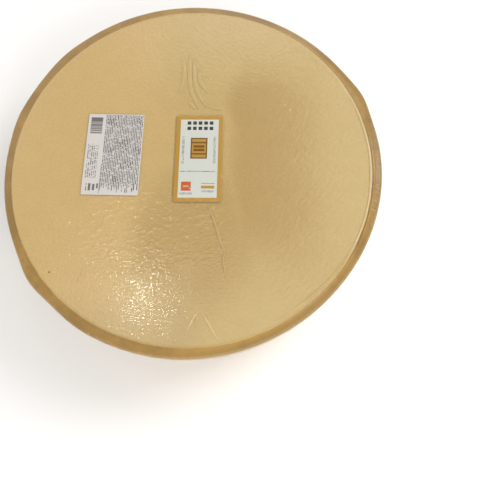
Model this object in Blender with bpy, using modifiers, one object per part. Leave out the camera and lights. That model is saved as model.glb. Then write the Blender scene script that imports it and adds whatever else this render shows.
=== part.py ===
"""Half of a hard grana wheel, cut level through its widest line and vacuum packed.

The half lies on the wheel's own flat end, with the cut face up.  The wheel's solid is
the outside of the clear film that clings to the cheese: a barrel-shaped side, a rind
edge that stands a little below the paste, and the film's creases and pleats fused on.
Two labels lie on the cut face, each a thin piece of its own.

Metres and degrees, +Z up.  The origin is on the flat end, under the middle of the
outline.  +Y runs along the gold-edged label, towards its top.
"""

import random
from math import cos, exp, hypot, atan2, pi, radians, sin

import bmesh
import bpy
from mathutils import Matrix, Vector

# The wheel
HEIGHT = 0.110             # flat end to cut face: half of a wheel 220 mm tall
FACE_RADIUS = 0.204        # the paste that shows on the cut face
RIND_STEP = 0.0006         # the rind's cut edge lies this far below the paste
STEP_WIDTH = 0.0012
RIM_RADIUS = 0.2150        # the widest line, just below the cut
RIM_FALL = 0.0006          # the rind's cut edge slopes down this much more
RIM_ROUNDING = 0.0030      # the cut's outer edge, rounded under the film
SIDE_BULGE = 0.014         # how far the barrel side draws in by the flat end
CORNER_HEIGHT = 0.014      # where the side starts to turn under
BASE_RADIUS = 0.188        # the flat that the half rests on
TURN_STEPS = 120
SIDE_RINGS = 8
CORNER_RINGS = 5
ROUNDING_RINGS = 3

# Out of round: three broad lobes, and the corners where taut film bridges
LOBES = 3
LOBE_HEIGHT = 0.0013
LOBE_AT = 10.0
FILM_CORNERS = ((25.0, 0.0028), (137.0, 0.0011), (163.0, 0.0015), (218.0, 0.0034), (238.0, 0.0009))
CORNER_SPREAD = 6.5
BASE_SHARE = 0.45          # how much of this is left at the flat end

# Creases of the film on the cut face, each from end to end
FACE_CREASES = (
    ((-0.0155, 0.1492), (-0.0135, 0.1029), (-0.0170, 0.0949)),
    ((-0.0105, 0.1465), (-0.0079, 0.1029), (0.0039, 0.0733)),
    ((-0.0016, 0.1396), (0.0004, 0.1030), (0.0132, 0.0753)),
    ((0.0183, -0.0470), (0.0253, -0.0579), (0.0361, -0.0923), (0.0436, -0.1333)),
    ((0.0136, -0.1626), (0.0010, -0.1868)),
    ((0.0160, -0.1650), (0.0350, -0.1960)),
    ((-0.1121, -0.1214), (-0.1184, -0.1346)),
)
CREASE_RADIUS = 0.0015
CREASE_PROUD = 0.0008
CREASE_SPACING = 0.009

# Pleats of the film down the side
PLEAT_COUNT = 26
PLEAT_RADIUS = 0.0014
PLEAT_PROUD = 0.0008
PLEAT_POINTS = 7
PLEAT_TOP = (0.004, 0.030)      # shortest and longest way below the cut face
PLEAT_FOOT = (0.014, 0.050)     # lowest and highest end above the flat end
PLEAT_LEAN = 2.4
PLEAT_SEED = 11

# The labels: width, length, thickness, corner radius, middle and turn
GOLD_LABEL = (0.0534, 0.1060, 0.0009, 0.0022, (0.0069, 0.0101), 0.0)
WEIGHT_LABEL = (0.0645, 0.1002, 0.0005, 0.0018, (-0.0911, 0.0149), -0.9)
LABEL_GAP = 0.0003
LABEL_CORNER_STEPS = 4

TIP_SHARE = 0.15           # how much of its thickness a crease keeps at its tips
WELD = 0.00001

PACKED_COLOUR = (0.63, 0.45, 0.20, 1.0)
GOLD_COLOUR = (0.58, 0.32, 0.07, 1.0)
PAPER_COLOUR = (0.76, 0.73, 0.69, 1.0)


def clear_scene():
    for old in list(bpy.data.objects):
        bpy.data.objects.remove(old, do_unlink=True)


def new_collection(name):
    collection = bpy.data.collections.new(name)
    bpy.context.scene.collection.children.link(collection)
    return collection


def material(name, colour, roughness):
    made = bpy.data.materials.new(name)
    made.use_nodes = True
    surface = made.node_tree.nodes["Principled BSDF"]
    surface.inputs["Base Color"].default_value = colour
    surface.inputs["Roughness"].default_value = roughness
    surface.inputs["Metallic"].default_value = 0.0
    return made


def evaluated_mesh(thing):
    """The object's mesh with its modifiers or its bevel worked out."""
    bpy.context.view_layer.update()
    depsgraph = bpy.context.evaluated_depsgraph_get()
    return bpy.data.meshes.new_from_object(thing.evaluated_get(depsgraph))


# ---------------------------------------------------------------- the wheel

def side_radius(z):
    """The barrel side: widest under the cut, drawn in by a parabola towards the flat end."""
    widest = HEIGHT - RIND_STEP - RIM_FALL - RIM_ROUNDING
    return RIM_RADIUS - SIDE_BULGE * ((widest - z) / widest) ** 2


def wheel_profile():
    """Radius and height, from the middle of the cut face down to the middle of the flat end."""
    rind_z = HEIGHT - RIND_STEP
    points = [
        (0.0, HEIGHT),
        (FACE_RADIUS, HEIGHT),
        (FACE_RADIUS + STEP_WIDTH, rind_z),
    ]
    centre_r = RIM_RADIUS - RIM_ROUNDING
    centre_z = rind_z - RIM_FALL - RIM_ROUNDING
    for ring in range(ROUNDING_RINGS + 1):
        turn = pi / 2 * ring / ROUNDING_RINGS
        points.append((centre_r + RIM_ROUNDING * sin(turn), centre_z + RIM_ROUNDING * cos(turn)))
    for ring in range(1, SIDE_RINGS + 1):
        z = centre_z + (CORNER_HEIGHT - centre_z) * ring / SIDE_RINGS
        points.append((side_radius(z), z))
    # The side turns under along a quadratic curve that keeps the side's slope
    start = Vector((side_radius(CORNER_HEIGHT), CORNER_HEIGHT))
    slope = 2 * SIDE_BULGE * (centre_z - CORNER_HEIGHT) / centre_z ** 2
    bend = Vector((start.x - slope * CORNER_HEIGHT, 0.0))
    end = Vector((BASE_RADIUS, 0.0))
    for ring in range(1, CORNER_RINGS + 1):
        t = ring / CORNER_RINGS
        point = start * (1 - t) ** 2 + bend * 2 * t * (1 - t) + end * t ** 2
        points.append((point.x, point.y))
    points.append((0.0, 0.0))
    return points


def swell(angle):
    """How far the outline stands outside its round at this angle."""
    out = LOBE_HEIGHT * cos(LOBES * (angle - radians(LOBE_AT)))
    for at, height in FILM_CORNERS:
        apart = (angle - radians(at) + pi) % (2 * pi) - pi
        out += height * exp(-(apart / radians(CORNER_SPREAD)) ** 2)
    return out


def swell_share(radius, z):
    """None of the swelling on the paste, all of it at the rim, less towards the flat end."""
    if z > HEIGHT - 0.5 * RIND_STEP:
        return 0.0
    share = BASE_SHARE + (1 - BASE_SHARE) * z / HEIGHT
    return share * min(1.0, radius / BASE_RADIUS)


def turned_wheel(collection):
    """Turn the profile about Z, then press the round out of true."""
    profile = wheel_profile()
    mesh = bpy.data.meshes.new("wheel_profile")
    edges = [(n, n + 1) for n in range(len(profile) - 1)]
    mesh.from_pydata([(r, 0.0, z) for r, z in profile], edges, [])
    turned = bpy.data.objects.new("wheel_profile", mesh)
    collection.objects.link(turned)
    screw = turned.modifiers.new("turn", "SCREW")
    screw.axis = "Z"
    screw.angle = 2 * pi
    screw.steps = TURN_STEPS
    screw.render_steps = TURN_STEPS
    screw.use_merge_vertices = True
    screw.merge_threshold = WELD
    screw.use_smooth_shade = True
    solid = evaluated_mesh(turned)
    bpy.data.objects.remove(turned, do_unlink=True)

    for vertex in solid.vertices:
        radius = hypot(vertex.co.x, vertex.co.y)
        if radius > WELD:
            angle = atan2(vertex.co.y, vertex.co.x)
            grown = radius + swell(angle) * swell_share(radius, vertex.co.z)
            vertex.co.x *= grown / radius
            vertex.co.y *= grown / radius
    return solid


def outline_middle(mesh):
    """The middle of the mesh's box, seen from above."""
    xs = [vertex.co.x for vertex in mesh.vertices]
    ys = [vertex.co.y for vertex in mesh.vertices]
    return Vector(((min(xs) + max(xs)) / 2, (min(ys) + max(ys)) / 2, 0.0))


# ---------------------------------------------------------------- creases and pleats

def smooth_route(corners, spacing):
    """Points a spacing apart on a quadratic B-spline through the ends of a broken line."""
    corners = [Vector(corner) for corner in corners]
    if len(corners) == 2:
        corners.insert(1, (corners[0] + corners[1]) / 2)
    legs = [corners[0]]
    for before, after in zip(corners[1:-2], corners[2:-1]):
        legs.append((before + after) / 2)
    legs.append(corners[-1])
    route = [legs[0]]
    for start, bend, end in zip(legs, corners[1:-1], legs[1:]):
        pieces = max(3, round((end - start).length / spacing))
        for piece in range(1, pieces + 1):
            t = piece / pieces
            route.append(start * (1 - t) ** 2 + bend * 2 * t * (1 - t) + end * t ** 2)
    return route


def ridge(name, points, radius, collection):
    """A thin tube along the points, fine at both tips, as a closed mesh."""
    curve = bpy.data.curves.new(name, "CURVE")
    curve.dimensions = "3D"
    curve.bevel_depth = radius
    curve.bevel_resolution = 2
    curve.use_fill_caps = True
    spline = curve.splines.new("POLY")
    spline.points.add(len(points) - 1)
    last = len(points) - 1
    for n, (knot, point) in enumerate(zip(spline.points, points)):
        knot.co = (*point, 1.0)
        knot.radius = TIP_SHARE + (1 - TIP_SHARE) * sin(pi * n / last) ** 0.7
    tube = bpy.data.objects.new(name, curve)
    collection.objects.link(tube)
    mesh = evaluated_mesh(tube)
    welded = bmesh.new()
    welded.from_mesh(mesh)
    bmesh.ops.remove_doubles(welded, verts=welded.verts, dist=WELD)
    welded.to_mesh(mesh)
    welded.free()
    solid = bpy.data.objects.new(name + "_solid", mesh)
    solid.matrix_world = tube.matrix_world
    bpy.data.objects.remove(tube, do_unlink=True)
    collection.objects.link(solid)
    return solid


def face_creases(collection):
    """The creases that run over the cut face, lying half sunk in it."""
    sink = CREASE_RADIUS - CREASE_PROUD
    for n, corners in enumerate(FACE_CREASES):
        route = smooth_route(corners, CREASE_SPACING)
        points = [Vector((x, y, HEIGHT - sink)) for x, y in route]
        ridge(f"face_crease_{n}", points, CREASE_RADIUS, collection)


def side_pleats(middle, collection):
    """Pleats down the side at uneven steps round it, each leaning a little."""
    draw = random.Random(PLEAT_SEED)
    sink = PLEAT_RADIUS - PLEAT_PROUD
    for n in range(PLEAT_COUNT):
        start = 2 * pi * (n + draw.uniform(-0.3, 0.3)) / PLEAT_COUNT
        lean = radians(draw.uniform(-PLEAT_LEAN, PLEAT_LEAN))
        top = HEIGHT - RIM_ROUNDING - draw.uniform(*PLEAT_TOP)
        foot = draw.uniform(*PLEAT_FOOT)
        points = []
        for step in range(PLEAT_POINTS):
            t = step / (PLEAT_POINTS - 1)
            z = top + (foot - top) * t
            angle = start + lean * t
            radius = side_radius(z)
            radius += swell(angle) * swell_share(radius, z) - sink
            points.append(Vector((radius * cos(angle), radius * sin(angle), z)) - middle)
        ridge(f"side_pleat_{n}", points, PLEAT_RADIUS, collection)


def packed_half_wheel(collection):
    """The whole packed half: the turned wheel with the film's creases and pleats fused on."""
    helpers = new_collection("film_folds")
    mesh = turned_wheel(helpers)
    middle = outline_middle(mesh)
    mesh.transform(Matrix.Translation(-middle))
    wheel = bpy.data.objects.new("packed_half_wheel", mesh)
    collection.objects.link(wheel)

    face_creases(helpers)
    side_pleats(middle, helpers)
    join = wheel.modifiers.new("folds", "BOOLEAN")
    join.operation = "UNION"
    join.operand_type = "COLLECTION"
    join.collection = helpers
    join.solver = "EXACT"
    wheel.data = evaluated_mesh(wheel)
    wheel.modifiers.clear()
    for helper in list(helpers.objects):
        bpy.data.objects.remove(helper, do_unlink=True)
    bpy.data.collections.remove(helpers)

    wheel.data.name = "packed_half_wheel"
    wheel.data.materials.clear()
    wheel.data.materials.append(material("packed_cheese", PACKED_COLOUR, 0.25))
    wheel.data.shade_smooth()
    wheel.data.set_sharp_from_angle(angle=radians(35))
    return wheel


# ---------------------------------------------------------------- the labels

def label(name, size, surface, collection):
    """A thin plate with rounded corners, lying on the cut face."""
    width, length, thickness, corner, middle, turn = size
    plate = bmesh.new()
    bmesh.ops.create_cube(plate, size=1.0)
    bmesh.ops.scale(plate, vec=(width, length, thickness), verts=plate.verts)
    upright = [edge for edge in plate.edges if abs(edge.verts[0].co.z - edge.verts[1].co.z) > WELD]
    bmesh.ops.bevel(
        plate, geom=upright, offset=corner, offset_type="OFFSET", affect="EDGES",
        segments=LABEL_CORNER_STEPS, profile=0.5,
    )
    mesh = bpy.data.meshes.new(name)
    plate.to_mesh(mesh)
    plate.free()
    mesh.materials.append(surface)
    piece = bpy.data.objects.new(name, mesh)
    piece.location = (*middle, HEIGHT + LABEL_GAP + thickness / 2)
    piece.rotation_euler = (0.0, 0.0, radians(turn))
    collection.objects.link(piece)
    return piece


clear_scene()
parts = new_collection("half_wheel_of_cheese")
packed_half_wheel(parts)
label("gold_edged_label", GOLD_LABEL, material("label_card", GOLD_COLOUR, 0.35), parts)
label("weight_label", WEIGHT_LABEL, material("label_paper", PAPER_COLOUR, 0.5), parts)
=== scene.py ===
import random
from math import cos, pi, radians, sin

import bpy
import numpy as np
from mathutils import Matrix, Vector


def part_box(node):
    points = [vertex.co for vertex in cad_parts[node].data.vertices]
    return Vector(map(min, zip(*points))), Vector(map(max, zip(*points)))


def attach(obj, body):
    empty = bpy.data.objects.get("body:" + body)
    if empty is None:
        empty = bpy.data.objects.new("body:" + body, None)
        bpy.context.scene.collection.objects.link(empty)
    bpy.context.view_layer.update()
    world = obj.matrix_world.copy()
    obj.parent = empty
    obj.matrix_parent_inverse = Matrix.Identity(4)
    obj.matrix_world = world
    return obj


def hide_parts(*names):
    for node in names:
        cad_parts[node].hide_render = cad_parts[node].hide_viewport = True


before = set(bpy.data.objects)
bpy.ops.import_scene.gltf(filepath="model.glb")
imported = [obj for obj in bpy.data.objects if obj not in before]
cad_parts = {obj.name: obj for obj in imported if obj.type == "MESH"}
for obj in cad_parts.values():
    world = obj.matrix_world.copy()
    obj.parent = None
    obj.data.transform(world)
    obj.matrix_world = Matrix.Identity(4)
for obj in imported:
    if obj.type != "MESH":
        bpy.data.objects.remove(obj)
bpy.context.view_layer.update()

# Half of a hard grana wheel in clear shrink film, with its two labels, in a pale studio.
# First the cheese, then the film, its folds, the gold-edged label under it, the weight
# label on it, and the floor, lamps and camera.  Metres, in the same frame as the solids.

# ------------------------------------------------------------------ the cheese
# Half of a wheel of hard cow's milk cheese, sawn level through its widest line.  The
# sawn face shows the straw-coloured paste inside a ring of tan rind, which stands a
# little lower.  The rind goes on down the barrel side and over the flat end.

LABEL_GAP = 0.0003              # the labels lie this far above the cut face
FACE_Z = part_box("gold_edged_label")[0][2] - LABEL_GAP
FACE_RADIUS = 0.204
RIND_STEP = 0.0006
STEP_WIDTH = 0.0012
RIM_RADIUS = 0.2150
RIM_FALL = 0.0006
RIM_ROUNDING = 0.0030
SIDE_BULGE = 0.014
CORNER_HEIGHT = 0.014
BASE_RADIUS = 0.188

LOBES = 3
LOBE_HEIGHT = 0.0013
LOBE_AT = 10.0                  # degrees
FILM_CORNERS = (                # degrees, and how far the taut film stands out
    (25.0, 0.0028), (137.0, 0.0011), (163.0, 0.0015), (218.0, 0.0034), (238.0, 0.0009))
CORNER_SPREAD = 6.5             # degrees
BASE_SHARE = 0.45               # what is left of them at the flat end

FACE_FROM = 0.199               # the middle's grid gives way to rings at this radius
WIDEST_Z = FACE_Z - RIND_STEP - RIM_FALL - RIM_ROUNDING
CHEESE_UNDER_FILM = 0.0003


def side_radius(z):
    """Radius of the barrel side: the widest less a bulge times the square of the way down."""
    return RIM_RADIUS - SIDE_BULGE * ((WIDEST_Z - z) / WIDEST_Z) ** 2


def swell(angle):
    """A three-lobed cosine and a Gaussian bump at each corner of the taut film."""
    out = LOBE_HEIGHT * np.cos(LOBES * (angle - radians(LOBE_AT)))
    for at, height in FILM_CORNERS:
        apart = (angle - radians(at) + pi) % (2 * pi) - pi
        out = out + height * np.exp(-(apart / radians(CORNER_SPREAD)) ** 2)
    return out


def share_left(z):
    """How much of the swell there is at a height: all at the cut face, less further down."""
    return BASE_SHARE + (1 - BASE_SHARE) * z / FACE_Z


def profile(rows, step_from, step_to):
    """Radius and height down the outside, from the paste's edge to the flat end's middle.

    rows gives the number of steps on each stretch: paste edge, step down, rind, rounding,
    side, corner and flat end.  Straight lines, a smooth step, a quarter circle, the
    parabola of side_radius and a quadratic curve that starts on the side's slope.
    """
    t = [np.linspace(0, 1, count + 1)[1:] for count in rows]
    rind_z = FACE_Z - RIND_STEP
    round_r = RIM_RADIUS - RIM_ROUNDING
    start = np.array([side_radius(CORNER_HEIGHT), CORNER_HEIGHT])
    slope = 2 * SIDE_BULGE * (WIDEST_Z - CORNER_HEIGHT) / WIDEST_Z ** 2
    bend = np.array([start[0] - slope * CORNER_HEIGHT, 0.0])
    end = np.array([BASE_RADIUS, 0.0])
    side_z = WIDEST_Z + (CORNER_HEIGHT - WIDEST_Z) * t[4]
    corner = [start[k] * (1 - t[5]) ** 2 + bend[k] * 2 * t[5] * (1 - t[5]) + end[k] * t[5] ** 2
              for k in (0, 1)]
    r = np.concatenate([
        [FACE_FROM],
        FACE_FROM + (step_from - FACE_FROM) * t[0],
        step_from + (step_to - step_from) * t[1],
        step_to + (round_r - step_to) * t[2],
        round_r + RIM_ROUNDING * np.sin(pi / 2 * t[3]),
        side_radius(side_z),
        corner[0],
        BASE_RADIUS * (1 - t[6][:-1]),
    ])
    z = np.concatenate([
        [FACE_Z],
        np.full(rows[0], FACE_Z),
        FACE_Z - RIND_STEP * t[1] ** 2 * (3 - 2 * t[1]),
        rind_z - RIM_FALL * t[2],
        WIDEST_Z + RIM_ROUNDING * np.cos(pi / 2 * t[3]),
        side_z,
        corner[1],
        np.zeros(rows[6] - 1),
    ])
    return r, z


def disc(count):
    """A unit disc as a count by count grid of quads, and its rim in order of angle.

    Each square about the middle becomes a circle: the larger coordinate is the radius, and
    the smaller over the larger, times 45 degrees, is the angle.
    """
    line = np.linspace(-1, 1, count)
    a, b = np.meshgrid(line, line)
    wide = np.abs(a) > np.abs(b)
    safe_a = np.where(a == 0, 1, a)
    safe_b = np.where(b == 0, 1, b)
    r = np.where(wide, a, b)
    turn = np.where(wide, pi / 4 * b / safe_a, pi / 2 - pi / 4 * a / safe_b)
    points = np.stack([(r * np.cos(turn)).ravel(), (r * np.sin(turn)).ravel()], axis=1)
    index = np.arange(count * count).reshape(count, count)
    quads = np.stack([index[:-1, :-1], index[:-1, 1:], index[1:, 1:], index[1:, :-1]], axis=-1)
    rim = np.concatenate([index[:-1, -1], index[-1, :0:-1], index[:0:-1, 0], index[0, :-1]])
    return points, quads.reshape(-1, 4), rim


def rings(first, row_count, foot):
    """Quads between closed rows, the first given by its indices, and the foot's fan."""
    around = len(first)
    rows = [np.asarray(first)]
    start = foot - (row_count - 1) * around
    for row in range(row_count - 1):
        rows.append(start + row * around + np.arange(around))
    quads = [np.stack([a, b, np.roll(b, -1), np.roll(a, -1)], axis=1) for a, b in zip(rows, rows[1:])]
    fan = np.stack([rows[-1], np.full(around, foot), np.roll(rows[-1], -1)], axis=1)
    return np.concatenate(quads), fan


def as_piece(name, points, quads, fan=()):
    """A smooth mesh object from arrays of corners, quads and triangles."""
    mesh = bpy.data.meshes.new(name)
    fan = np.asarray(fan, int).reshape(-1, 3)
    loops = np.concatenate([quads.ravel(), fan.ravel()])
    totals = np.concatenate([np.full(len(quads), 4), np.full(len(fan), 3)])
    mesh.vertices.add(len(points))
    mesh.vertices.foreach_set("co", np.asarray(points, np.float32).ravel())
    mesh.loops.add(len(loops))
    mesh.loops.foreach_set("vertex_index", loops.astype(np.int32))
    mesh.polygons.add(len(totals))
    mesh.polygons.foreach_set("loop_start", (np.cumsum(totals) - totals).astype(np.int32))
    mesh.polygons.foreach_set("use_smooth", np.ones(len(totals), bool))
    mesh.update(calc_edges=True)
    mesh.validate()
    piece = bpy.data.objects.new(name, mesh)
    bpy.context.scene.collection.objects.link(piece)
    return piece


def turned(radius, z, angle, lift):
    """Points at a radius, height and angle, out of round by swell, moved out by lift.

    The lift is along the profile's normal, which is its tangent turned by 90 degrees.
    """
    along_r = np.gradient(radius, axis=0)
    along_z = np.gradient(z, axis=0)
    length = np.hypot(along_r, along_z)
    out_r = -along_z / length
    out_z = along_r / length
    share = share_left(z) * np.clip(radius / BASE_RADIUS, 0, 1)
    beyond = np.clip((radius - FACE_RADIUS) / STEP_WIDTH, 0, 1)
    on_face = z > FACE_Z - 0.5 * RIND_STEP
    share = share * np.where(on_face, beyond, 1.0)
    r = radius + swell(angle) * share + out_r * lift
    x = r * np.cos(angle)
    y = r * np.sin(angle)
    return np.stack([x, y, z + out_z * lift], axis=-1)


def outline_shift():
    """From the middle of the paste to the middle of the outline's box."""
    angle = np.linspace(0, 2 * pi, 2400, endpoint=False)
    r = RIM_RADIUS + swell(angle) * share_left(WIDEST_Z)
    x = r * np.cos(angle)
    y = r * np.sin(angle)
    return np.array([(x.min() + x.max()) / 2, (y.min() + y.max()) / 2, 0.0])


SHIFT = outline_shift()
GRID_ANGLE = -pi / 4            # a disc's rim starts at its lower right corner


def ring_surface(rows, around, step, lift):
    """The profile turned about Z as rows of points, with the foot's point last."""
    radius, z = profile(rows, *step)
    angle = GRID_ANGLE + 2 * pi * np.arange(around) / around
    radius = np.repeat(radius[:, None], around, axis=1)
    z = np.repeat(z[:, None], around, axis=1)
    angle = np.repeat(angle[None, :], len(radius), axis=0)
    height = lift(radius, z, angle) if callable(lift) else np.full(radius.shape, lift)
    points = turned(radius, z, angle, height) - SHIFT
    foot_z = -height[-1].mean()
    foot = np.array([[-SHIFT[0], -SHIFT[1], foot_z]])
    return points, foot


class Field:
    """A socket in a material; sums on it add Math nodes, and node adds any other kind."""

    def __init__(self, tree, socket=None):
        self.tree = tree
        self.socket = socket

    def node(self, kind, settings, inputs, out=0):
        """A node of any kind, with its settings and the values or Fields on its sockets."""
        made = self.tree.nodes.new(kind)
        for name, value in settings.items():
            setattr(made, name, value)
        for name, value in inputs.items():
            if isinstance(value, Field):
                self.tree.links.new(value.socket, made.inputs[name])
            else:
                made.inputs[name].default_value = value
        return Field(self.tree, made.outputs[out] if made.outputs else None)

    def sum(self, operation, *terms):
        """A Math node on the terms."""
        return self.node("ShaderNodeMath", {"operation": operation}, dict(enumerate(terms)))

    def __add__(self, other):
        return self.sum("ADD", self, other)

    def __radd__(self, other):
        return self.sum("ADD", other, self)

    def __sub__(self, other):
        return self.sum("SUBTRACT", self, other)

    def __rsub__(self, other):
        return self.sum("SUBTRACT", other, self)

    def __mul__(self, other):
        return self.sum("MULTIPLY", self, other)

    def __rmul__(self, other):
        return self.sum("MULTIPLY", other, self)

    def __truediv__(self, other):
        return self.sum("DIVIDE", self, other)

    def __pow__(self, other):
        return self.sum("POWER", self, other)

    def __lt__(self, other):
        return self.sum("LESS_THAN", self, other)

    def __abs__(self):
        return self.sum("ABSOLUTE", self)

    def axes(self):
        """X, Y and Z of a vector."""
        return [self.node("ShaderNodeSeparateXYZ", {}, {0: self}, axis) for axis in range(3)]

    def floor(self):
        return self.sum("FLOOR", self)

    def larger(self, other):
        return self.sum("MAXIMUM", self, other)

    def between(self, low, high):
        """0 below low, 1 above high, smooth on the way."""
        return self.node("ShaderNodeMapRange", {"interpolation_type": "SMOOTHSTEP"},
                         {"Value": self, "From Min": low, "From Max": high})

    def noise(self, scale, detail=2.0, rough=0.5, stretch=(1.0, 1.0, 1.0), turn=0.0, seat=0.0):
        """Cloudy noise from 0 to 1, scale lumps a metre, drawn out by stretch along the turned axes."""
        moved = self.node("ShaderNodeMapping", {"vector_type": "TEXTURE"}, {
            "Vector": self, "Location": (seat, seat, seat),
            "Rotation": (0.0, 0.0, radians(turn)), "Scale": stretch})
        return self.node("ShaderNodeTexNoise", {"noise_dimensions": "3D"}, {
            "Vector": moved, "Scale": scale, "Detail": detail, "Roughness": rough}, "Fac")

    def bump(self, distance=1.0, strength=1.0):
        """The normal that this height gives the surface, in metres where distance is 1."""
        return self.node("ShaderNodeBump", {}, {
            "Strength": strength, "Distance": distance, "Height": self})

    def tint(self, low, high):
        """The colour low where this is 0, high where it is 1."""
        return self.node("ShaderNodeMix", {"data_type": "RGBA"}, {
            "Factor": self, 6: (*low, 1.0) if isinstance(low, tuple) else low,
            7: (*high, 1.0) if isinstance(high, tuple) else high}, 2)


def new_material(name):
    """An empty material, and a Field to start its nodes from."""
    made = bpy.data.materials.new(name)
    made.use_nodes = True
    made.node_tree.nodes.clear()
    return made, Field(made.node_tree)


def show(start, shader):
    """Make the shader the material's surface."""
    start.node("ShaderNodeOutputMaterial", {}, {"Surface": shader})


def object_place(start):
    """Position on the object in metres, and its X, Y and Z."""
    place = start.node("ShaderNodeTexCoord", {}, {}, "Object")
    return place, *place.axes()


PASTE_STRAW = (0.578, 0.414, 0.184)     # towards the left
PASTE_LEMON = (0.520, 0.381, 0.160)     # towards the right
# painted shadow: the paste's colour where shade falls, right of the middle and below the gold label
PASTE_IN_PAINTED_SHADOW = (0.446, 0.307, 0.118)      # right of the middle
# painted highlight: a pale line where the film bridges the paste's right edge, and the colour of the
# painted glints
PAINTED_HIGHLIGHT_CREAM = (0.640, 0.500, 0.290)     # where the film bridges its right edge
PASTE_SPECK = (0.16, 0.085, 0.03)
SPECK_AT = (-0.1498, -0.1239)           # one dark speck in the paste
# painted glints: pale spots where the film catches the light
PAINTED_GLINTS_AT = ((0.1054, 0.0781), (0.1112, 0.0716), (-0.1440, -0.1236))
RIND_TAN = (0.312, 0.187, 0.055)
RIND_GOLD = (0.435, 0.265, 0.074)
RIND_BROWN = (0.235, 0.124, 0.040)
# painted shade on the rind: at its corner with the side, and in the band outside the paste's right edge
RIND_IN_PAINTED_SHADE = (0.170, 0.120, 0.055)      # at the corner between the cut face and the side
CREASE_WARMTH = (1.05, 1.01, 0.97)
CREASE_TONE = 0.96
# painted light: the creases in front are made lighter, as if they catch the light
LOW_CREASE_PAINTED_LIGHT = 0.16                  # added in front of LOW_CREASE_Y
LOW_CREASE_Y = -0.155

DIMPLE_HEIGHT = 0.00021
RIDGE_HEIGHT = 0.00020
DOME_HEIGHT = 0.00090
CRIMP_HEIGHT = 0.00014
PORE_HEIGHT = 0.00022


def from_middle(x, y):
    """X, Y and distance from the paste's middle, which lies off the outline's middle."""
    from_x = x + float(SHIFT[0])
    from_y = y + float(SHIFT[1])
    return from_x, from_y, (from_x ** 2.0 + from_y ** 2.0) ** 0.5


def skin(start, place, x, y):
    """Height in metres of the film's fine dimples, which the paste takes up too.

    Noise, four millimetres from crest to crest in the middle and up to eight at the right,
    on coordinates that slow noise bends.  It slants one way at the upper left, the other
    way at the right, and is strongest round the small lamp's mirror image at the lower
    left.  Level ridges and a few domes stand out of it left of the middle.
    """
    drift = start.node("ShaderNodeTexNoise", {}, {
        "Vector": place, "Scale": 13.0, "Detail": 1.0}, "Color")
    bent = start.node("ShaderNodeVectorMath", {"operation": "MULTIPLY_ADD"}, {
        0: drift, 1: (0.024, 0.024, 0.0), 2: place})
    level = bent.noise(500.0, 0.0, 0.4, stretch=(1.1, 1.0, 1.0), turn=-6.0)
    slant = bent.noise(330.0, 0.8, 0.4, stretch=(1.7, 1.0, 1.0), turn=-40.0)
    upper_left = (y - x * 0.55).between(0.015, 0.075)
    dimple = level + (slant - level) * upper_left
    diagonal = bent.noise(250.0, 1.0, 0.5, stretch=(1.8, 1.0, 1.0), turn=48.0) * 2.3
    dimple = dimple + (diagonal - dimple) * x.between(0.05, 0.12)
    near = 1.0 - (((x + 0.050) / 0.11) ** 2.0 + ((y + 0.115) / 0.12) ** 2.0).between(0.2, 2.4)
    patchy = (bent.noise(110.0, 1.0, 0.5, seat=2.0).between(0.32, 0.68) - 0.5) * 0.20
    middle = 1.0 - (((x + 0.046) / 0.030) ** 2.0 + ((y + 0.151) / 0.030) ** 2.0).between(0.0, 1.2)
    strength = 0.47 + near * (0.25 + patchy) - middle * 0.15 - 0.10 * x.between(0.0, 0.08)
    above = 1.0 - (((x + 0.045) / 0.085) ** 2.0 + ((y + 0.073) / 0.056) ** 2.0).between(0.3, 1.6)
    ridge = bent.noise(215.0, 0.5, 0.4, stretch=(1.4, 1.0, 1.0), turn=4.0, seat=4.0)
    ridge = ridge.between(0.46, 0.72)
    cell = start.node("ShaderNodeTexVoronoi", {}, {"Vector": bent, "Scale": 170.0}, "Distance")
    drawn = start.node("ShaderNodeTexVoronoi", {}, {"Vector": bent, "Scale": 170.0}, "Color")
    chance = drawn.axes()[0]
    dome = (1.0 - (cell / 0.33) ** 2.0).larger(0.0) ** 2.0 * (chance < 0.22)
    dome = dome * (1.0 - x.between(0.01, 0.05))
    return dimple * strength * DIMPLE_HEIGHT + ridge * above * RIDGE_HEIGHT + dome * chance * DOME_HEIGHT


def crimp(start, x, y, r, z):
    """Height in metres of the film's cross wrinkles outside the paste, strongest at the right."""
    angle = y.sum("ARCTAN2", y, x)
    spread = start.node("ShaderNodeCombineXYZ", {}, {0: angle * 0.21, 1: r * 0.10, 2: z * 0.10})
    right = 0.20 + 0.80 * (1.0 - abs(angle + 0.06).between(0.25, 0.60))
    outside = r.between(FACE_RADIUS - 0.001, FACE_RADIUS + 0.002)
    return spread.noise(680.0, 1.0, 0.5) * outside * right * CRIMP_HEIGHT


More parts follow.
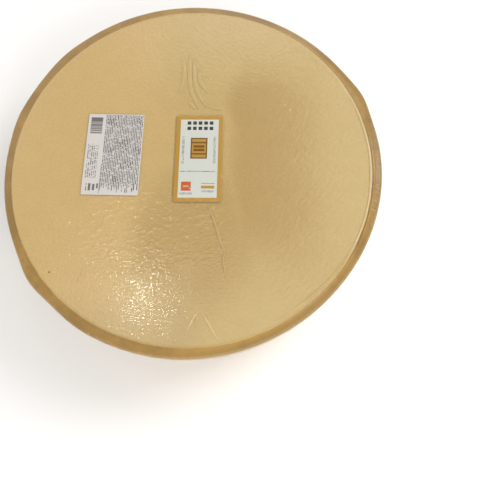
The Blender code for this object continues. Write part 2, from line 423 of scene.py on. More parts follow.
def cheese_material(name, film_on_it):
    """Straw paste inside the step, tan rind outside it and down the side.

    film_on_it is 1 where the film is part of the same surface: it adds a glossy coat
    and a crease's tone, made lighter as painted light on the creases in front.
    """
    made, start = new_material(name)
    place, x, y, z = object_place(start)
    from_x, from_y, r = from_middle(x, y)
    wander = (place.noise(60.0, 3.0) - 0.5) * 0.0016
    outside = (r + wander).between(FACE_RADIUS - 0.0002, FACE_RADIUS + 0.0008)
    below = (FACE_Z - z).between(0.0012, 0.0020)
    rind = outside.larger(below)

    cloud = place.noise(14.0, 2.0)
    mottle = place.noise(55.0, 3.0, 0.6, seat=3.0)
    grain = place.noise(420.0, 2.0, 0.6, stretch=(1.5, 1.0, 1.0), turn=-15.0)
    from_left = (x + (cloud - 0.5) * 0.08).between(-0.085, 0.005)
    paste = from_left.tint(PASTE_STRAW, PASTE_LEMON)
    # Painted shadow: a dark patch right of the middle and another below the gold label, put into the
    # paste's colour.
    painted_shadow_right = (x + (cloud - 0.5) * 0.03).between(0.028, 0.062) * (1.0 - x.between(0.085, 0.185))
    painted_shadow_right = painted_shadow_right * (1.0 - abs(y - 0.010).between(0.05, 0.17))
    painted_shadow_low = 1.0 - (((x - 0.008) / 0.062) ** 2.0 + ((y + 0.085) / 0.070) ** 2.0).between(0.0, 2.4)
    painted_shadow = painted_shadow_right.larger(painted_shadow_low * 0.85) + (cloud - 0.5) * 0.4
    paste = painted_shadow.between(-0.05, 1.0).tint(paste, PASTE_IN_PAINTED_SHADOW)
    # Painted shade: the paste's colour is scaled down by a tenth towards its lower left edge.
    painted_shade_low_left = (1.0 - y.between(-0.185, -0.130) - x.between(-0.02, 0.04)).between(0.0, 1.0)
    painted_shade_tone = start.node("ShaderNodeVectorMath", {"operation": "SCALE"}, {0: paste, "Scale": 0.90})
    paste = painted_shade_low_left.tint(paste, painted_shade_tone)
    shade = mottle * 0.3 + grain * 0.7
    paste = (shade.between(0.36, 0.64) * 0.10).tint(paste, PASTE_SPECK)
    from_speck = ((x - SPECK_AT[0]) ** 2.0 + (y - SPECK_AT[1]) ** 2.0) ** 0.5
    paste = (1.0 - (from_speck + wander).between(0.0006, 0.0013)).tint(paste, PASTE_SPECK)
    # Painted glints: small pale spots put into the paste's colour.
    for at_x, at_y in PAINTED_GLINTS_AT:
        from_painted_glint = ((x - at_x) ** 2.0 + (y - at_y) ** 2.0) ** 0.5
        painted_glint = 1.0 - (from_painted_glint + wander).between(0.0007, 0.0016)
        paste = (painted_glint * 0.7).tint(paste, PAINTED_HIGHLIGHT_CREAM)

    patch = place.noise(26.0, 4.0, 0.6, stretch=(1.0, 1.0, 1.6), seat=5.0)
    pore = place.noise(260.0, 4.0, 0.7, seat=7.0)
    # Random gold patches, and painted light: the rind lighter and more gold towards the lower right.
    gold_patches_and_painted_light = patch + (x * 0.5 - y * 0.8).between(0.10, 0.22) * 0.20
    outer = gold_patches_and_painted_light.between(0.38, 0.68).tint(RIND_TAN, RIND_GOLD)
    stained = (patch * 0.4 + pore * 0.6).between(0.52, 0.66) * 0.45
    outer = stained.tint(outer, RIND_BROWN)
    # Painted shade: the rind darkens to olive at the corner between the cut face and the side, more
    # towards the right.
    depth = FACE_Z - z
    edge = depth.between(0.00085, 0.0014) * 0.34 + depth.between(0.0018, 0.0030) * 0.50
    edge = edge * (1.0 - depth.between(0.005, 0.014)) * (0.25 + x.between(-0.05, 0.12) * 0.75)
    outer = edge.tint(outer, RIND_IN_PAINTED_SHADE)
    # Where the film bridges the step at the right: a pale line of painted highlight, and a dark band of
    # painted shade outside it.
    at_right = x.between(0.150, 0.185) * y.between(-0.150, -0.090)
    painted_highlight_line = r.between(0.2016, 0.2028) * (1.0 - r.between(0.2036, 0.2042)) * at_right
    paste = (painted_highlight_line * 0.75).tint(paste, PAINTED_HIGHLIGHT_CREAM)
    painted_shade_groove = (1.0 - r.between(0.2050, 0.2062)) * at_right
    outer = (painted_shade_groove * 0.60).tint(outer, RIND_IN_PAINTED_SHADE)
    colour = rind.tint(paste, outer)
    # Painted light: creases in front of LOW_CREASE_Y get a lighter colour.
    if film_on_it:
        warmer = start.node("ShaderNodeVectorMath", {"operation": "MULTIPLY"}, {
            0: colour, 1: CREASE_WARMTH})
        colour = start.node("ShaderNodeVectorMath", {"operation": "SCALE"}, {
            0: warmer, "Scale": CREASE_TONE + LOW_CREASE_PAINTED_LIGHT * (y < LOW_CREASE_Y)})

    rough = 0.36 + rind * 0.18
    press = 0.8 + x.between(-0.02, 0.08) * 2.2
    height = skin(start, place, x, y) * (1.0 - rind) * press + rind * pore * PORE_HEIGHT
    height = height + crimp(start, from_x, from_y, r, z)
    show(start, start.node("ShaderNodeBsdfPrincipled", {}, {
        "Base Color": colour, "Roughness": rough, "Specular IOR Level": 0.5,
        "Subsurface Weight": 0.10, "Subsurface Radius": (0.9, 0.45, 0.2),
        "Subsurface Scale": 0.003, "Coat Weight": film_on_it, "Coat Roughness": 0.12,
        "Normal": height.bump()}))
    return made


CHEESE_GRID = 121
CHEESE_ROWS = (3, 5, 6, 6, 26, 10, 8)
CHEESE_STEP = (0.2032, 0.2058)  # the sawn edge is a little rounded


def half_wheel():
    """The paste's disc and the turned rind, joined into one closed mesh."""
    flat, quads, rim = disc(CHEESE_GRID)
    level = np.full(len(flat), FACE_Z - CHEESE_UNDER_FILM)
    top = np.column_stack([flat * FACE_FROM, level]) - SHIFT
    around = len(rim)
    rows, foot = ring_surface(CHEESE_ROWS, around, CHEESE_STEP, -CHEESE_UNDER_FILM)
    points = np.concatenate([top, rows[1:].reshape(-1, 3), foot])
    side, fan = rings(rim, len(rows), len(points) - 1)
    return as_piece("cheese_half_wheel", points, np.concatenate([quads, side]), fan)


cheese = half_wheel()
cheese.data.materials.append(cheese_material("straw_paste_and_tan_rind", 0.0))
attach(cheese, "root")

# ------------------------------------------------------------------ the clear film
# One bag of clear shrink film, drawn tight by vacuum.  It clings to the cheese with a
# fine dimpled skin, bridges the step at the rind and stands off a little at the gold
# label's edges and down the side, where it puckers.

GOLD_LOW, GOLD_HIGH = (np.array(corner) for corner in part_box("gold_edged_label"))
GOLD_MIDDLE = (GOLD_LOW + GOLD_HIGH)[:2] / 2
GOLD_HALF = (GOLD_HIGH - GOLD_LOW)[:2] / 2
GOLD_CORNER = 0.0022

WAVE_SIZE = 0.0085
WAVE_HEIGHT = 0.000028
WAVE_LEAN = -32.0               # degrees
DRIFT_SIZE = 0.085
DRIFT_REACH = 0.020
RIPPLE_HEIGHT = 0.00007         # ripples round the gold label
RIPPLE_SPACING = 0.0050
RIPPLE_REACH = 0.014
PUCKER_HEIGHT = 0.00060
ROLL_HEIGHT = 0.0009
ROLL_WIDTH = 0.0009
ROLLS = (                       # degrees from and to, radius, share of the height
    (-128.0, -106.0, 0.2139, 1.0), (-20.0, -10.0, 0.2128, 0.9))
MIRROR_AHEAD = 0.047            # the share that the film mirrors, looked at square
MIRROR_ASLANT = 0.55            # what the flattest view adds
FILM_ROUGHNESS = 0.085
HASH_STEPS = np.array([374761393, 668265263, 2147483647])
HASH_SEED = 974634777
HASH_MIX = 1274126177
FILM_GRID = 311
FILM_ROWS = (5, 9, 7, 9, 34, 10, 4)
FILM_STEP = (0.2018, 0.2072)    # it bridges the step in a longer slope


def lattice_noise(points, cell, seed):
    """Gradient noise from about -1 to 1 on three-dimensional points.

    Each corner of a cubic lattice gets a slope from a hash of its place.  A point takes
    the dot products of the slopes at its cell's eight corners with its offsets from
    them, blended by the quintic 6t^5 - 15t^4 + 10t^3.
    """
    scaled = np.asarray(points, float) / cell
    base = np.floor(scaled).astype(np.int64)
    offset = scaled - base
    fade = offset ** 3 * (offset * (offset * 6 - 15) + 10)
    total = np.zeros(scaled.shape[:-1])
    for corner in np.ndindex(2, 2, 2):
        at = base + np.array(corner)
        mixed = at @ HASH_STEPS + seed * HASH_SEED
        mixed = (mixed ^ (mixed >> 13)) * HASH_MIX
        mixed = mixed ^ (mixed >> 16)
        turn = (mixed & 0xFFFF) / 0x10000 * 2 * pi
        rise = ((mixed >> 16) & 0xFFFF) / 0x8000 - 1.0
        flat = np.sqrt(1 - rise ** 2)
        away = offset - np.array(corner)
        slope = away[..., 0] * flat * np.cos(turn) + away[..., 1] * flat * np.sin(turn)
        slope = slope + away[..., 2] * rise
        blend = np.prod(np.where(np.array(corner) == 1, fade, 1 - fade), axis=-1)
        total = total + slope * blend
    return total * 1.6


def outside_label(x, y, middle, half, corner):
    """Distance outside a rectangle with rounded corners, 0 within it."""
    u = np.maximum(np.abs(x - middle[0]) - (half[0] - corner), 0)
    v = np.maximum(np.abs(y - middle[1]) - (half[1] - corner), 0)
    return np.maximum(np.hypot(u, v) - corner, 0)


def film_lift(points):
    """How far the film stands above the clean surface, at points on it.

    Shallow waves of lattice noise, on coordinates that a slower noise bends, and a sine
    of the distance from the gold label that dies away from it.
    """
    x = points[..., 0]
    y = points[..., 1]
    bend_x = lattice_noise(points, DRIFT_SIZE, 3) * DRIFT_REACH
    bend_y = lattice_noise(points, DRIFT_SIZE, 4) * DRIFT_REACH
    lean = radians(WAVE_LEAN)
    u = (x + bend_x) * cos(lean) - (y + bend_y) * sin(lean)
    v = (x + bend_x) * sin(lean) + (y + bend_y) * cos(lean)
    bent = np.stack([u, v * 0.7, points[..., 2]], axis=-1)
    waves = lattice_noise(bent, WAVE_SIZE, 1)
    away = outside_label(x, y, GOLD_MIDDLE, GOLD_HALF, GOLD_CORNER)
    at_left = np.clip((GOLD_MIDDLE[0] + 0.020 - x) / 0.02, 0, 1)
    lower_left = at_left * np.clip((0.045 - y) / 0.04, 0, 1)
    ripple = np.sin((away + 0.002 * waves) / RIPPLE_SPACING * 2 * pi) * np.exp(-away / RIPPLE_REACH)
    ripple = RIPPLE_HEIGHT * ripple * np.clip(away / 0.004, 0, 1) * (0.25 + 0.75 * lower_left)
    return ripple + WAVE_HEIGHT * waves


def side_lift(radius, z, angle):
    """The face's lift, rolls of loose film on the rim, and puckers down the side."""
    clean = turned(radius, z, angle, 0.0) - SHIFT
    down = np.clip((FACE_Z - RIND_STEP * 0.5 - z) / 0.006, 0, 1)
    on_side = np.stack([np.cos(angle), np.sin(angle), z * 0.9], axis=-1)
    fine = lattice_noise(on_side * np.array([1, 1, 0.6]), 0.034, 7)
    broad = lattice_noise(on_side * np.array([1, 1, 0.9]), 0.11, 8)
    pucker = PUCKER_HEIGHT * np.abs(fine) * np.clip(broad * 1.4 + 0.6, 0, 1.5)
    over_flat = np.clip(z / 0.004, 0, 1)
    face = film_lift(clean)
    degrees = (np.degrees(angle) + 180) % 360 - 180
    lumps = 0.55 + 0.9 * lattice_noise(on_side, 0.030, 9)
    roll = 0.0
    for first, last, at, share in ROLLS:
        along = np.clip((degrees - first) / 3, 0, 1) * np.clip((last - degrees) / 3, 0, 1)
        across = np.exp(-((radius - at) / ROLL_WIDTH) ** 2) * np.where(z > WIDEST_Z - 0.002, 1, 0)
        roll = roll + ROLL_HEIGHT * share * along * across * np.clip(lumps, 0, 1.4)
    return face * (1 - down) + pucker * down * over_flat + roll


def film_material():
    """Clear film, which mirrors more the flatter the view."""
    made, start = new_material("clear_shrink_film")
    place, x, y, z = object_place(start)
    from_x, from_y, r = from_middle(x, y)
    height = skin(start, place, x, y) * (r < FACE_RADIUS) + crimp(start, from_x, from_y, r, z)
    facing = start.node("ShaderNodeLayerWeight", {}, {"Blend": 0.5}, "Facing")
    mirror = MIRROR_AHEAD + MIRROR_ASLANT * facing ** 5.0
    clear = start.node("ShaderNodeBsdfTransparent", {}, {"Color": (0.985, 0.98, 0.965, 1.0)})
    gloss = start.node("ShaderNodeBsdfGlossy", {}, {
        "Color": (1.0, 1.0, 1.0, 1.0), "Roughness": FILM_ROUGHNESS, "Normal": height.bump()})
    show(start, start.node("ShaderNodeMixShader", {}, {0: mirror, 1: clear, 2: gloss}))
    return made


film_finish = film_material()


def film_over_face():
    """The film on the paste: the disc's grid, lifted by film_lift."""
    flat, quads, rim = disc(FILM_GRID)
    points = np.column_stack([flat * FACE_FROM, np.full(len(flat), FACE_Z)]) - SHIFT
    points[:, 2] += film_lift(points)
    return as_piece("film_over_face", points, quads), len(rim)


def film_round_side(around):
    """The film from the paste's edge over the rim, down the side and under the flat end."""
    rows, foot = ring_surface(FILM_ROWS, around, FILM_STEP, side_lift)
    foot[0, 2] = 0.0
    points = np.concatenate([rows.reshape(-1, 3), foot])
    side, fan = rings(np.arange(around), len(rows), len(points) - 1)
    return as_piece("film_round_side", points, side, fan)


face_film, film_around = film_over_face()
side_film = film_round_side(film_around)
for film in (face_film, side_film):
    film.data.materials.append(film_finish)
    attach(film, "root")
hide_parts("packed_half_wheel")

# ------------------------------------------------------------------ the film's folds
# Where the bag has too much film it lies in narrow creases, which press the paste up with
# them: soft ones above the gold label, sharp ones below it, short ones near the rim and
# long ones along the paste's right edge.  Down the side it stands off in upright pleats.

FACE_FOLDS = (                  # half width, height and the route over the face
    (0.0028, 0.00007, ((-0.0165, 0.1430), (-0.0145, 0.1310), (-0.0135, 0.1120), (-0.0190, 0.0980),
                       (-0.0150, 0.0930))),
    (0.0024, 0.00007, ((-0.0075, 0.0830), (-0.0040, 0.0800), (0.0012, 0.0725))),
    (0.0026, 0.00007, ((-0.0085, 0.1450), (-0.0078, 0.1200), (-0.0065, 0.1010), (-0.0020, 0.0880),
                       (0.0052, 0.0725))),
    (0.0026, 0.00006, ((-0.0030, 0.1425), (-0.0022, 0.1130), (0.0042, 0.0890), (0.0148, 0.0745))),
    (0.0024, 0.00005, ((0.0036, 0.1260), (0.0042, 0.1100), (0.0087, 0.1030), (0.0150, 0.0930))),
    (0.0020, 0.00006, ((0.0175, 0.0755), (0.0250, 0.0740), (0.0330, 0.0725))),
    (0.0014, 0.00024, ((0.0186, -0.0455), (0.0246, -0.0590), (0.0303, -0.0765), (0.0345, -0.0898),
                       (0.0376, -0.0962), (0.0408, -0.1020))),
    (0.0013, 0.00026, ((0.0402, -0.0990), (0.0372, -0.1055), (0.0380, -0.1140), (0.0408, -0.1235),
                       (0.0419, -0.1320))),
    (0.0011, 0.00010, ((0.0136, -0.1626), (0.0010, -0.1868))),
    (0.0012, 0.00011, ((0.0160, -0.1650), (0.0350, -0.1960))),
    (0.0011, 0.00030, ((-0.1121, -0.1214), (-0.1184, -0.1346))),
    (0.0010, 0.00012, ((0.1788, 0.0966), (0.1967, 0.0501), (0.2027, 0.0006), (0.1967, -0.0489),
                       (0.1788, -0.0953), (0.1594, -0.1250))),
    (0.0010, 0.00020, ((0.2052, -0.0139), (0.2012, -0.0425), (0.1932, -0.0703), (0.1831, -0.0935))),
    (0.0012, 0.00022, ((0.1725, -0.1010), (0.1660, -0.1130), (0.1360, -0.1465), (0.0989, -0.1733))),
)
FOLD_SPACING = 0.0012
FOLD_ACROSS = 9
FOLD_CLEAR = 0.00006            # a fold lies this far above the film, clear of its waves
PLEAT_COUNT = 26
PLEAT_HALF_WIDTH = 0.0022
PLEAT_PROUD = 0.0008
PLEAT_CLEAR = 0.0001
PLEAT_TOP = (0.004, 0.030)      # how far below the rim a pleat starts
PLEAT_FOOT = (0.014, 0.050)     # how high it ends
PLEAT_LEAN = 2.4                # degrees, the most that a pleat leans either way
PLEAT_SEED = 11


def smooth_route(corners):
    """A quadratic B-spline that starts and ends at the first and last corners, evenly spaced."""
    corners = np.asarray(corners, float)
    spans = len(corners) - 2
    if spans < 1:
        dense = corners[0] + (corners[-1] - corners[0]) * np.linspace(0, 1, 80)[:, None]
    else:
        t = np.linspace(0, 1, 40)[:, None]
        parts = []
        for k in range(spans):
            start = corners[0] if k == 0 else (corners[k] + corners[k + 1]) / 2
            end = corners[-1] if k == spans - 1 else (corners[k + 1] + corners[k + 2]) / 2
            parts.append(start * (1 - t) ** 2 + corners[k + 1] * 2 * t * (1 - t) + end * t ** 2)
        dense = np.concatenate([part[:-1] for part in parts[:-1]] + [parts[-1]])
    gone = np.concatenate([[0], np.cumsum(np.linalg.norm(np.diff(dense, axis=0), axis=1))])
    steps = max(6, int(gone[-1] / FOLD_SPACING))
    even = np.linspace(0, gone[-1], steps + 1)
    return np.stack([np.interp(even, gone, dense[:, axis]) for axis in range(corners.shape[1])], axis=1)


def fold_strip(route, upward, half_width, height, seed):
    """A closed strip: across it a bell above a flat foot, along it tapered to its tips.

    Across, the height is the squared cosine of the way from the crest to the foot.
    Along the route both swell as a sine to the power 0.7, and lattice noise varies the
    height.
    """
    along = np.gradient(route, axis=0)
    along /= np.linalg.norm(along, axis=1, keepdims=True)
    across = np.cross(along, upward)
    across /= np.linalg.norm(across, axis=1, keepdims=True)
    t = np.linspace(0, 1, len(route))
    taper = np.sin(pi * t) ** 0.7
    uneven = 1 + 0.35 * lattice_noise(route + seed, 0.013, seed)
    over = np.linspace(1, -1, FOLD_ACROSS)
    place = np.concatenate([over, [-0.5, 0.5]])
    rise = np.concatenate([np.cos(pi / 2 * over) ** 2, [-0.06, -0.06]])
    around = len(place)
    wide = half_width * (0.35 + 0.65 * taper)
    tall = height * taper * uneven
    body = (route[:, None, :] + across[:, None, :] * (wide[:, None] * place)[..., None]
            + upward[:, None, :] * (tall[:, None] * rise)[..., None])
    tips = np.stack([route[0], route[-1]])
    points = np.concatenate([body[1:-1].reshape(-1, 3), tips])
    rows = len(route) - 2
    first = np.arange(around)
    steps = first + around * np.arange(rows - 1)[:, None]
    nexts = np.roll(first, -1) + around * np.arange(rows - 1)[:, None]
    quads = np.stack([steps, nexts, nexts + around, steps + around], axis=-1).reshape(-1, 4)
    last = (rows - 1) * around + first
    fan = np.concatenate([
        np.stack([np.full(around, rows * around), np.roll(first, -1), first], axis=1),
        np.stack([np.full(around, rows * around + 1), last, np.roll(last, -1)], axis=1)])
    return points, quads, fan


def joined_strips(name, strips):
    """Strips as one object, with their edges sharp where they are sharper than 80 degrees."""
    starts = np.cumsum([0] + [len(strip[0]) for strip in strips[:-1]])
    piece = as_piece(
        name,
        np.concatenate([strip[0] for strip in strips]),
        np.concatenate([strip[1] + start for strip, start in zip(strips, starts)]),
        np.concatenate([strip[2] + start for strip, start in zip(strips, starts)]))
    piece.data.set_sharp_from_angle(angle=radians(80))
    return piece


def face_strips(step):
    """The strips along the face's routes, just above the film's surface."""
    strips = []
    for n, (half_width, height, corners) in enumerate(FACE_FOLDS):
        flat = smooth_route(corners)
        middle = flat + SHIFT[:2]
        r = np.hypot(middle[:, 0], middle[:, 1])
        t = np.clip((r - step[0]) / (step[1] - step[0]), 0, 1)
        route = np.column_stack([flat, FACE_Z - RIND_STEP * t ** 2 * (3 - 2 * t)])
        route[:, 2] += film_lift(route) + FOLD_CLEAR
        upward = np.tile([0.0, 0.0, 1.0], (len(route), 1))
        strips.append(fold_strip(route, upward, half_width, height, n + 1))
    return strips


def side_strips():
    """Pleats round the side, at uneven places and leans."""
    strips = []
    draw = random.Random(PLEAT_SEED)
    for n in range(PLEAT_COUNT):
        start = 2 * pi * (n + draw.uniform(-0.3, 0.3)) / PLEAT_COUNT
        lean = radians(draw.uniform(-PLEAT_LEAN, PLEAT_LEAN))
        top = FACE_Z - RIM_ROUNDING - draw.uniform(*PLEAT_TOP)
        foot = draw.uniform(*PLEAT_FOOT)
        t = np.linspace(0, 1, int((top - foot) / FOLD_SPACING))
        z = top + (foot - top) * t
        angle = start + lean * t
        r = side_radius(z) + swell(angle) * share_left(z) + PLEAT_CLEAR
        route = np.column_stack([r * np.cos(angle), r * np.sin(angle), z]) - SHIFT
        upward = np.column_stack([np.cos(angle), np.sin(angle), np.zeros(len(t))])
        strips.append(fold_strip(route, upward, PLEAT_HALF_WIDTH, PLEAT_PROUD, 40 + n))
    return strips


creases = joined_strips("creases_over_face", face_strips(FILM_STEP))
creases.data.materials.append(cheese_material("paste_under_creased_film", 1.0))
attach(creases, "root")

pleats = joined_strips("film_pleats", side_strips())
pleats.data.materials.append(film_finish)
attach(pleats, "root")

# ------------------------------------------------------------------ the gold-edged label
# A printed card with rounded corners, laid on the paste before the bag was drawn tight.
# A gold border frames a white field with dark bars, a gold block and small marks.

CARD_EDGE = 0.0048
CORNER_POINTS = 7
CARD_UNDER = 0.00006            # the card's top lies this far below its solid's top
COVER_OVER = 0.00004            # and the film over it this far above
COVER_SHOULDER = 0.0006         # the film starts to round this far in from the card's edge
COVER_OUT = 0.0002              # and ends its rounding this far out
COVER_DROP = 0.0003
COVER_FOOT = 0.0016             # how far the film slopes out from there


def rounded_plate(name, middle, half, corner, rows, turn=0.0, closed=True):
    """A flat plate: a rounded rectangle's outline, carried down through rows of (inset, height).

    The outline is four quarter circles.  The first row closes on its middle, and so does
    the last one of a closed plate.
    """
    quarter = np.linspace(0, pi / 2, CORNER_POINTS)
    angle = np.concatenate([quarter + k * pi / 2 for k in range(4)])
    sign_x = np.repeat([1, -1, -1, 1], CORNER_POINTS)
    sign_y = np.repeat([1, 1, -1, -1], CORNER_POINTS)
    x = sign_x * (half[0] - corner) + corner * np.cos(angle)
    y = sign_y * (half[1] - corner) + corner * np.sin(angle)
    inward = np.stack([-np.cos(angle), -np.sin(angle)], axis=1)
    outline = np.stack([x, y], axis=1)
    points = [np.array([[0.0, 0.0, rows[0][1]]])]
    for step_in, z in rows:
        points.append(np.column_stack([outline + inward * step_in, np.full(len(x), z)]))
    points.append(np.array([[0.0, 0.0, rows[-1][1]]]))
    points = np.concatenate(points)
    to_turned = np.array([[cos(turn), sin(turn)], [-sin(turn), cos(turn)]])
    flat = points[:, :2] @ to_turned + middle
    points = np.column_stack([flat, points[:, 2]])
    around = len(x)
    first = 1 + np.arange(around)
    side, fan = rings(first, len(rows), len(points) - 1)
    top = np.stack([np.zeros(around, int), first, np.roll(first, -1)], axis=1)
    if not closed:
        return as_piece(name, points[:-1], side, top)
    piece = as_piece(name, points, side, np.concatenate([top, fan]))
    piece.data.set_sharp_from_angle(angle=radians(40))
    return piece


def card_rows(low, high, soften=0.00012):
    """Top, softened edge, wall, softened edge and bottom of a card."""
    return [(soften, high), (0.0, high - soften), (0.0, low + soften), (soften, low)]


def cover_rows(low, high):
    """Film drawn over a card: a rounded shoulder, then a hollow that runs out flat on the face.

    The shoulder is a quarter ellipse, and the hollow falls as the cube of the way left.
    """
    t = np.linspace(0, 1, 6)
    shoulder = [(COVER_SHOULDER - (COVER_SHOULDER + COVER_OUT) * sin(pi / 2 * k),
                 high - COVER_DROP * (1 - cos(pi / 2 * k))) for k in t]
    out = np.linspace(0, 1, 7)[1:]
    drop = high - COVER_DROP - low
    hollow = [(-COVER_OUT - COVER_FOOT * k, low + drop * (1 - k) ** 3) for k in out]
    return shoulder + hollow


class Print:
    """Marks on a label, in millimetres from its middle, u to the right and v to the top."""

    def __init__(self, start, middle, turn):
        self.start = start
        place = start.node("ShaderNodeTexCoord", {}, {}, "Object")
        moved = start.node("ShaderNodeVectorMath", {"operation": "SUBTRACT"}, {
            0: place, 1: (float(middle[0]), float(middle[1]), 0.0)})
        self.place = start.node("ShaderNodeMapping", {}, {
            "Vector": moved, "Rotation": (0.0, 0.0, -turn), "Scale": (1000.0, 1000.0, 1000.0)})
        self.u, self.v = self.place.axes()[:2]

    def block(self, u, v, width, height):
        """1 inside a rectangle about u, v."""
        return (abs(self.u - u) < width / 2) * (abs(self.v - v) < height / 2)

    def random(self, a, b, seed):
        """A number from 0 to 1 for each whole pair of a and b."""
        cell = self.start.node("ShaderNodeCombineXYZ", {}, {0: a.floor(), 1: b.floor(), 2: seed})
        return self.start.node("ShaderNodeTexWhiteNoise", {"noise_dimensions": "3D"}, {
            "Vector": cell}, "Value")

    def rows(self, across, along, pitch, dash, fill, seed):
        """Rows of dashes, each row moved along at random: ink where a cell draws under fill."""
        row = across / pitch
        along = along / dash + self.random(row, row, seed + 0.5) * 5.0
        inked = self.random(along, row, seed) < fill
        body = abs(row - row.floor() - 0.5) < 0.30
        return inked * body


WHITE_FIELD = (0.575, 0.60, 0.565)
GOLD_PRINT = (0.435, 0.245, 0.038)
GOLD_DARK = (0.16, 0.075, 0.012)
BLACK_PRINT = (0.035, 0.032, 0.03)
GREY_PRINT = (0.22, 0.21, 0.20)
ORANGE_PRINT = (0.52, 0.105, 0.018)


def card_material():
    """The card's print: a gold border, and on its white field bars, blocks and dashes."""
    made, start = new_material("gold_edged_printed_card")
    ink = Print(start, GOLD_MIDDLE, 0.0)
    half_u = float(GOLD_HALF[0]) * 1000 - CARD_EDGE * 1000
    half_v = float(GOLD_HALF[1]) * 1000 - CARD_EDGE * 1000
    field = ink.block(0.0, 0.0, half_u * 2, half_v * 2)
    colour = field.tint(GOLD_PRINT, WHITE_FIELD)
    along = (ink.u + 60) / 6.4
    square = abs(along - along.floor() - 0.5) < 0.33
    title = ink.block(0.0, 43.8, 32.0, 4.2).larger(ink.block(0.0, 37.0, 32.0, 4.2)) * square
    colour = title.tint(colour, BLACK_PRINT)
    emblem = ink.block(0.0, 12.0, 19.0, 26.0)
    colour = emblem.tint(colour, GOLD_DARK)
    inner = ink.block(0.0, 12.0, 16.0, 23.0)
    colour = inner.tint(colour, GOLD_PRINT)
    bars = ink.block(0.0, 19.0, 17.4, 1.8).larger(ink.block(0.0, 5.0, 17.4, 1.8))
    bars = bars.larger(ink.block(0.0, 14.2, 12.6, 3.0)).larger(ink.block(0.0, 9.8, 12.6, 3.0))
    colour = bars.tint(colour, GOLD_DARK)
    small = ink.block(-17.8, 10.0, 2.8, 34.0).larger(ink.block(17.8, 10.0, 2.8, 34.0))
    small = small * ink.rows(ink.u + 60, ink.v + 90, 1.4, 0.8, 0.70, 5)
    line = ink.random((ink.u + 70) / 0.8, ink.v * 0, 4) < 0.82
    small = small.larger(ink.block(0.0, -16.5, 40.0, 1.0) * line)
    colour = small.tint(colour, GREY_PRINT)
    mark = ink.block(-13.0, -34.5, 11.0, 11.0)
    colour = mark.tint(colour, ORANGE_PRINT)
    colour = (ink.block(-13.0, -34.5, 6.5, 2.0) * 0.5).tint(colour, WHITE_FIELD)
    stamp = ink.block(11.5, -31.0, 15.0, 0.9).larger(ink.block(11.5, -35.5, 15.0, 3.4))
    colour = stamp.tint(colour, GOLD_PRINT)
    foot = (ink.block(-13.0, -43.5, 14.0, 2.6).larger(ink.block(11.5, -40.5, 14.0, 2.6))
            * ink.rows(ink.v + 90, ink.u + 90, 1.3, 0.9, 0.72, 6))
    colour = foot.tint(colour, GREY_PRINT)
    grain = ink.place.noise(2.0, 2.0)
    show(start, start.node("ShaderNodeBsdfPrincipled", {}, {
        "Base Color": colour, "Roughness": 0.42 - field * 0.06,
        "Normal": grain.bump(0.00003, 0.3)}))
    return made


card = rounded_plate(
    "gold_edged_card", GOLD_MIDDLE, GOLD_HALF, GOLD_CORNER,
    card_rows(GOLD_LOW[2], GOLD_HIGH[2] - CARD_UNDER))
card.data.materials.append(card_material())
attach(card, "root")
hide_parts("gold_edged_label")

cover = rounded_plate(
    "film_over_card", GOLD_MIDDLE, GOLD_HALF, GOLD_CORNER,
    cover_rows(FACE_Z + FOLD_CLEAR, GOLD_HIGH[2] + COVER_OVER), closed=False)
cover.data.materials.append(film_finish)
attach(cover, "root")

# ------------------------------------------------------------------ the weight label
# White thermal paper stuck on the outside of the film.  A striped block and close rows
# of fine dashes are printed on it, which run along its long side.

PAPER_LOW, PAPER_HIGH = (np.array(corner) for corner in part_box("weight_label"))
PAPER_MIDDLE = (PAPER_LOW + PAPER_HIGH)[:2] / 2
PAPER_HALF = np.array([0.0645, 0.1002]) / 2     # the sheet itself, which is turned in its box
PAPER_TURN = radians(-0.9)
PAPER_CORNER = 0.0018
PAPER_WHITE = (0.560, 0.530, 0.505)
THERMAL_GREY = (0.055, 0.053, 0.055)


def paper_material():
    """The paper's print: a striped block, a rule, and rows of dashes along its long side."""
    made, start = new_material("white_thermal_paper")
    ink = Print(start, PAPER_MIDDLE, PAPER_TURN)
    tone = ink.place.noise(0.08, 2.0)
    colour = tone.tint(PAPER_WHITE, tuple(value * 0.93 for value in PAPER_WHITE))
    stripes = ink.block(-22.3, 35.5, 13.6, 20.5)
    bars = stripes * (ink.random((ink.v + 90) / 1.05, ink.u * 0, 2) < 0.62)
    column = (ink.u + 90) / 1.9
    ragged = (ink.random(column, ink.v * 0, 11) * 9.0 - 47.5) < ink.v
    text = ink.rows(ink.u + 90, ink.v + 90, 1.9, 0.85, 0.80, 7)
    text = ink.block(9.6, 0.5, 43.0, 97.0) * ragged * text
    bold = ink.random((ink.u + 90) / 7.6, (ink.v + 90) / 9.0, 12) < 0.16
    side_text = ink.rows(ink.u + 90, ink.v + 90, 2.3, 0.9, 0.62, 8)
    side_text = ink.block(-23.4, -9.0, 12.0, 42.0) * side_text
    rule = ink.block(-12.2, -31.0, 0.7, 35.0)
    weights = ink.rows(ink.u + 90, ink.v + 90, 4.6, 1.5, 0.72, 9)
    weights = ink.block(-20.5, -41.0, 14.0, 9.0) * weights
    faint = (stripes * 0.35).larger(text * (0.78 + bold * 0.2)).larger(side_text * 0.7)
    inked = faint.larger(bars * 0.85).larger(rule * 0.6).larger(weights * 0.85)
    colour = inked.tint(colour, THERMAL_GREY)
    fibre = ink.place.noise(3.0, 3.0)
    show(start, start.node("ShaderNodeBsdfPrincipled", {}, {
        "Base Color": colour, "Roughness": 0.5 + tone * 0.1,
        "Normal": fibre.bump(0.00005, 0.4)}))
    return made


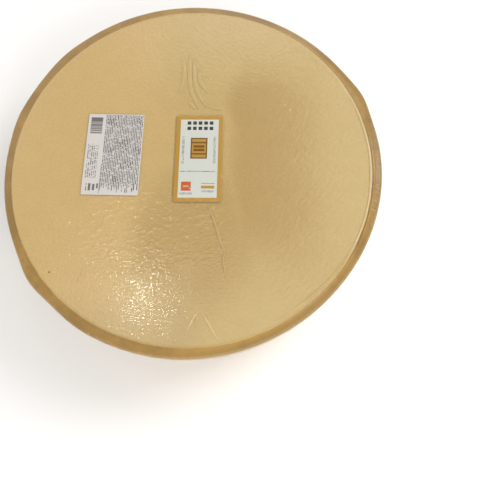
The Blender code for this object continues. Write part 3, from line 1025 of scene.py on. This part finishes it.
paper = rounded_plate(
    "weight_label_paper", PAPER_MIDDLE, PAPER_HALF, PAPER_CORNER,
    card_rows(PAPER_LOW[2], PAPER_HIGH[2]), PAPER_TURN)
paper.data.materials.append(paper_material())
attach(paper, "root")
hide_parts("weight_label")

# ------------------------------------------------------------------ floor, lamps and camera
# A pale round floor in a pale room, a large soft lamp at the right and a weaker one in
# front, and one small bright lamp whose mirror image lies on the film at the lower left
# of the cut face.  The camera looks down from in front, as the photograph's did.

FLOOR_REACH = 1.5
FLOOR_UNDER = 0.0002            # the floor lies this far below what stands on it


def floor_material():
    """Plain matt white."""
    made, start = new_material("pale_studio_floor")
    show(start, start.node("ShaderNodeBsdfPrincipled", {}, {
        "Base Color": (0.92, 0.92, 0.92, 1.0), "Roughness": 0.7}))
    return made


floor_disc, floor_quads = disc(17)[:2]
floor_points = np.column_stack([floor_disc * FLOOR_REACH, np.full(len(floor_disc), -FLOOR_UNDER)])
floor = as_piece("studio_floor", floor_points, floor_quads)
floor.data.materials.append(floor_material())

ROOM_WHITE = 1.12               # brightness of the plain room, below about forty degrees
ROOM_DARK = 0.04                # and of its dark part overhead
ROOM_TINT = (3.0, 2.96, 2.90)   # the room's colour at a brightness of 3


def pale_room():
    """The room as the cut face mirrors it.

    Dark overhead, with pale patches to the back, right, front and left and a window at the
    right.  Each is a product of smooth steps on the line of sight's X and Y over its Z.
    """
    world = bpy.data.worlds.new("pale_studio")
    world.use_nodes = True
    world.node_tree.nodes.clear()
    sky = Field(world.node_tree)
    towards = sky.node("ShaderNodeTexCoord", {}, {}, "Generated")
    east, north, up = towards.axes()
    up = up.larger(0.12)
    east = east / up
    north = north / up
    back = north.between(0.56, 0.80) * (1.0 - abs(east + 0.04).between(0.26, 0.44) * 0.85) * 1.7
    back = back * (1.0 - north.between(0.85, 1.10) * 0.45) * (0.1 + east.between(-0.36, -0.10) * 0.9)
    right = east.between(-0.08, 0.22) * (1.0 - east.between(0.26, 0.42)) * north.between(0.08, 0.30) * 1.2
    window = ((east - 0.51) / 0.09) ** 2.0 + ((north - 0.47) / 0.12) ** 2.0
    window = (1.0 - window.between(0.2, 1.4)) * 3.4
    front = (1.0 - north.between(0.14, 0.38)) * north.between(-0.06, 0.08)
    front = front * east.between(-0.45, -0.30) * (1.0 - east.between(0.20, 0.34)) * 1.1
    left = (1.0 - east.between(-0.52, -0.38)) * north.between(0.30, 0.50) * 0.35
    around = (east / 1.05) ** 2.0 + ((north - 0.40) / 0.85) ** 2.0
    above = 1.0 - around.between(0.6, 1.8)
    overhead = ROOM_DARK + back.larger(right).larger(window).larger(front).larger(left)
    brightness = ROOM_WHITE + above * (overhead - ROOM_WHITE)
    room = (brightness / 3.0).tint((0.0, 0.0, 0.0), ROOM_TINT)
    background = sky.node("ShaderNodeBackground", {}, {"Color": room, "Strength": 1.0})
    sky.node("ShaderNodeOutputWorld", {}, {"Surface": background})
    return world


bpy.context.scene.world = pale_room()

LAMP_WHITE = (1.0, 0.985, 0.955)
WHEEL_MIDDLE = (0.0, 0.0, 0.1)
LAMPS = (                       # name, place, aim, side, watts, colour, mirrored in the film
    ("soft_key", (2.6, 1.5, 2.3), WHEEL_MIDDLE, 2.0, 88.0, LAMP_WHITE, False),
    ("soft_fill", (1.0, -1.7, 1.3), WHEEL_MIDDLE, 1.2, 22.0, LAMP_WHITE, False),
    ("small_lamp", (-0.4346, 0.1747, 1.91), (-0.0463, -0.1514, 0.11), 0.08, 0.58,
     (0.98, 1.0, 0.93), True),
)


def lamp(name, place, aim, side, watts, colour, mirrored):
    """A square soft lamp at a place, turned to face another, mirrored in glossy things or not."""
    light = bpy.data.lights.new(name, "AREA")
    light.size = side
    light.energy = watts
    light.color = colour
    made = bpy.data.objects.new(name, light)
    bpy.context.scene.collection.objects.link(made)
    made.location = place
    made.rotation_euler = Vector(np.array(aim) - np.array(place)).to_track_quat("-Z", "Y").to_euler()
    made.visible_glossy = mirrored


for values in LAMPS:
    lamp(*values)

CAMERA_PLACE = (0.07765, -0.25553, 0.68457)
CAMERA_TURN = (15.375, 0.913, 0.677)    # degrees about X, Y and Z from straight down

camera_data = bpy.data.cameras.new("camera")
camera_data.lens = 39.6
camera_data.sensor_width = 36.0
camera_data.clip_start = 0.01
camera_data.clip_end = 50.0
camera = bpy.data.objects.new("camera", camera_data)
camera.location = CAMERA_PLACE
camera.rotation_euler = [radians(degrees) for degrees in CAMERA_TURN]
bpy.context.scene.collection.objects.link(camera)
bpy.context.scene.camera = camera
bpy.context.scene.view_settings.view_transform = "Standard"
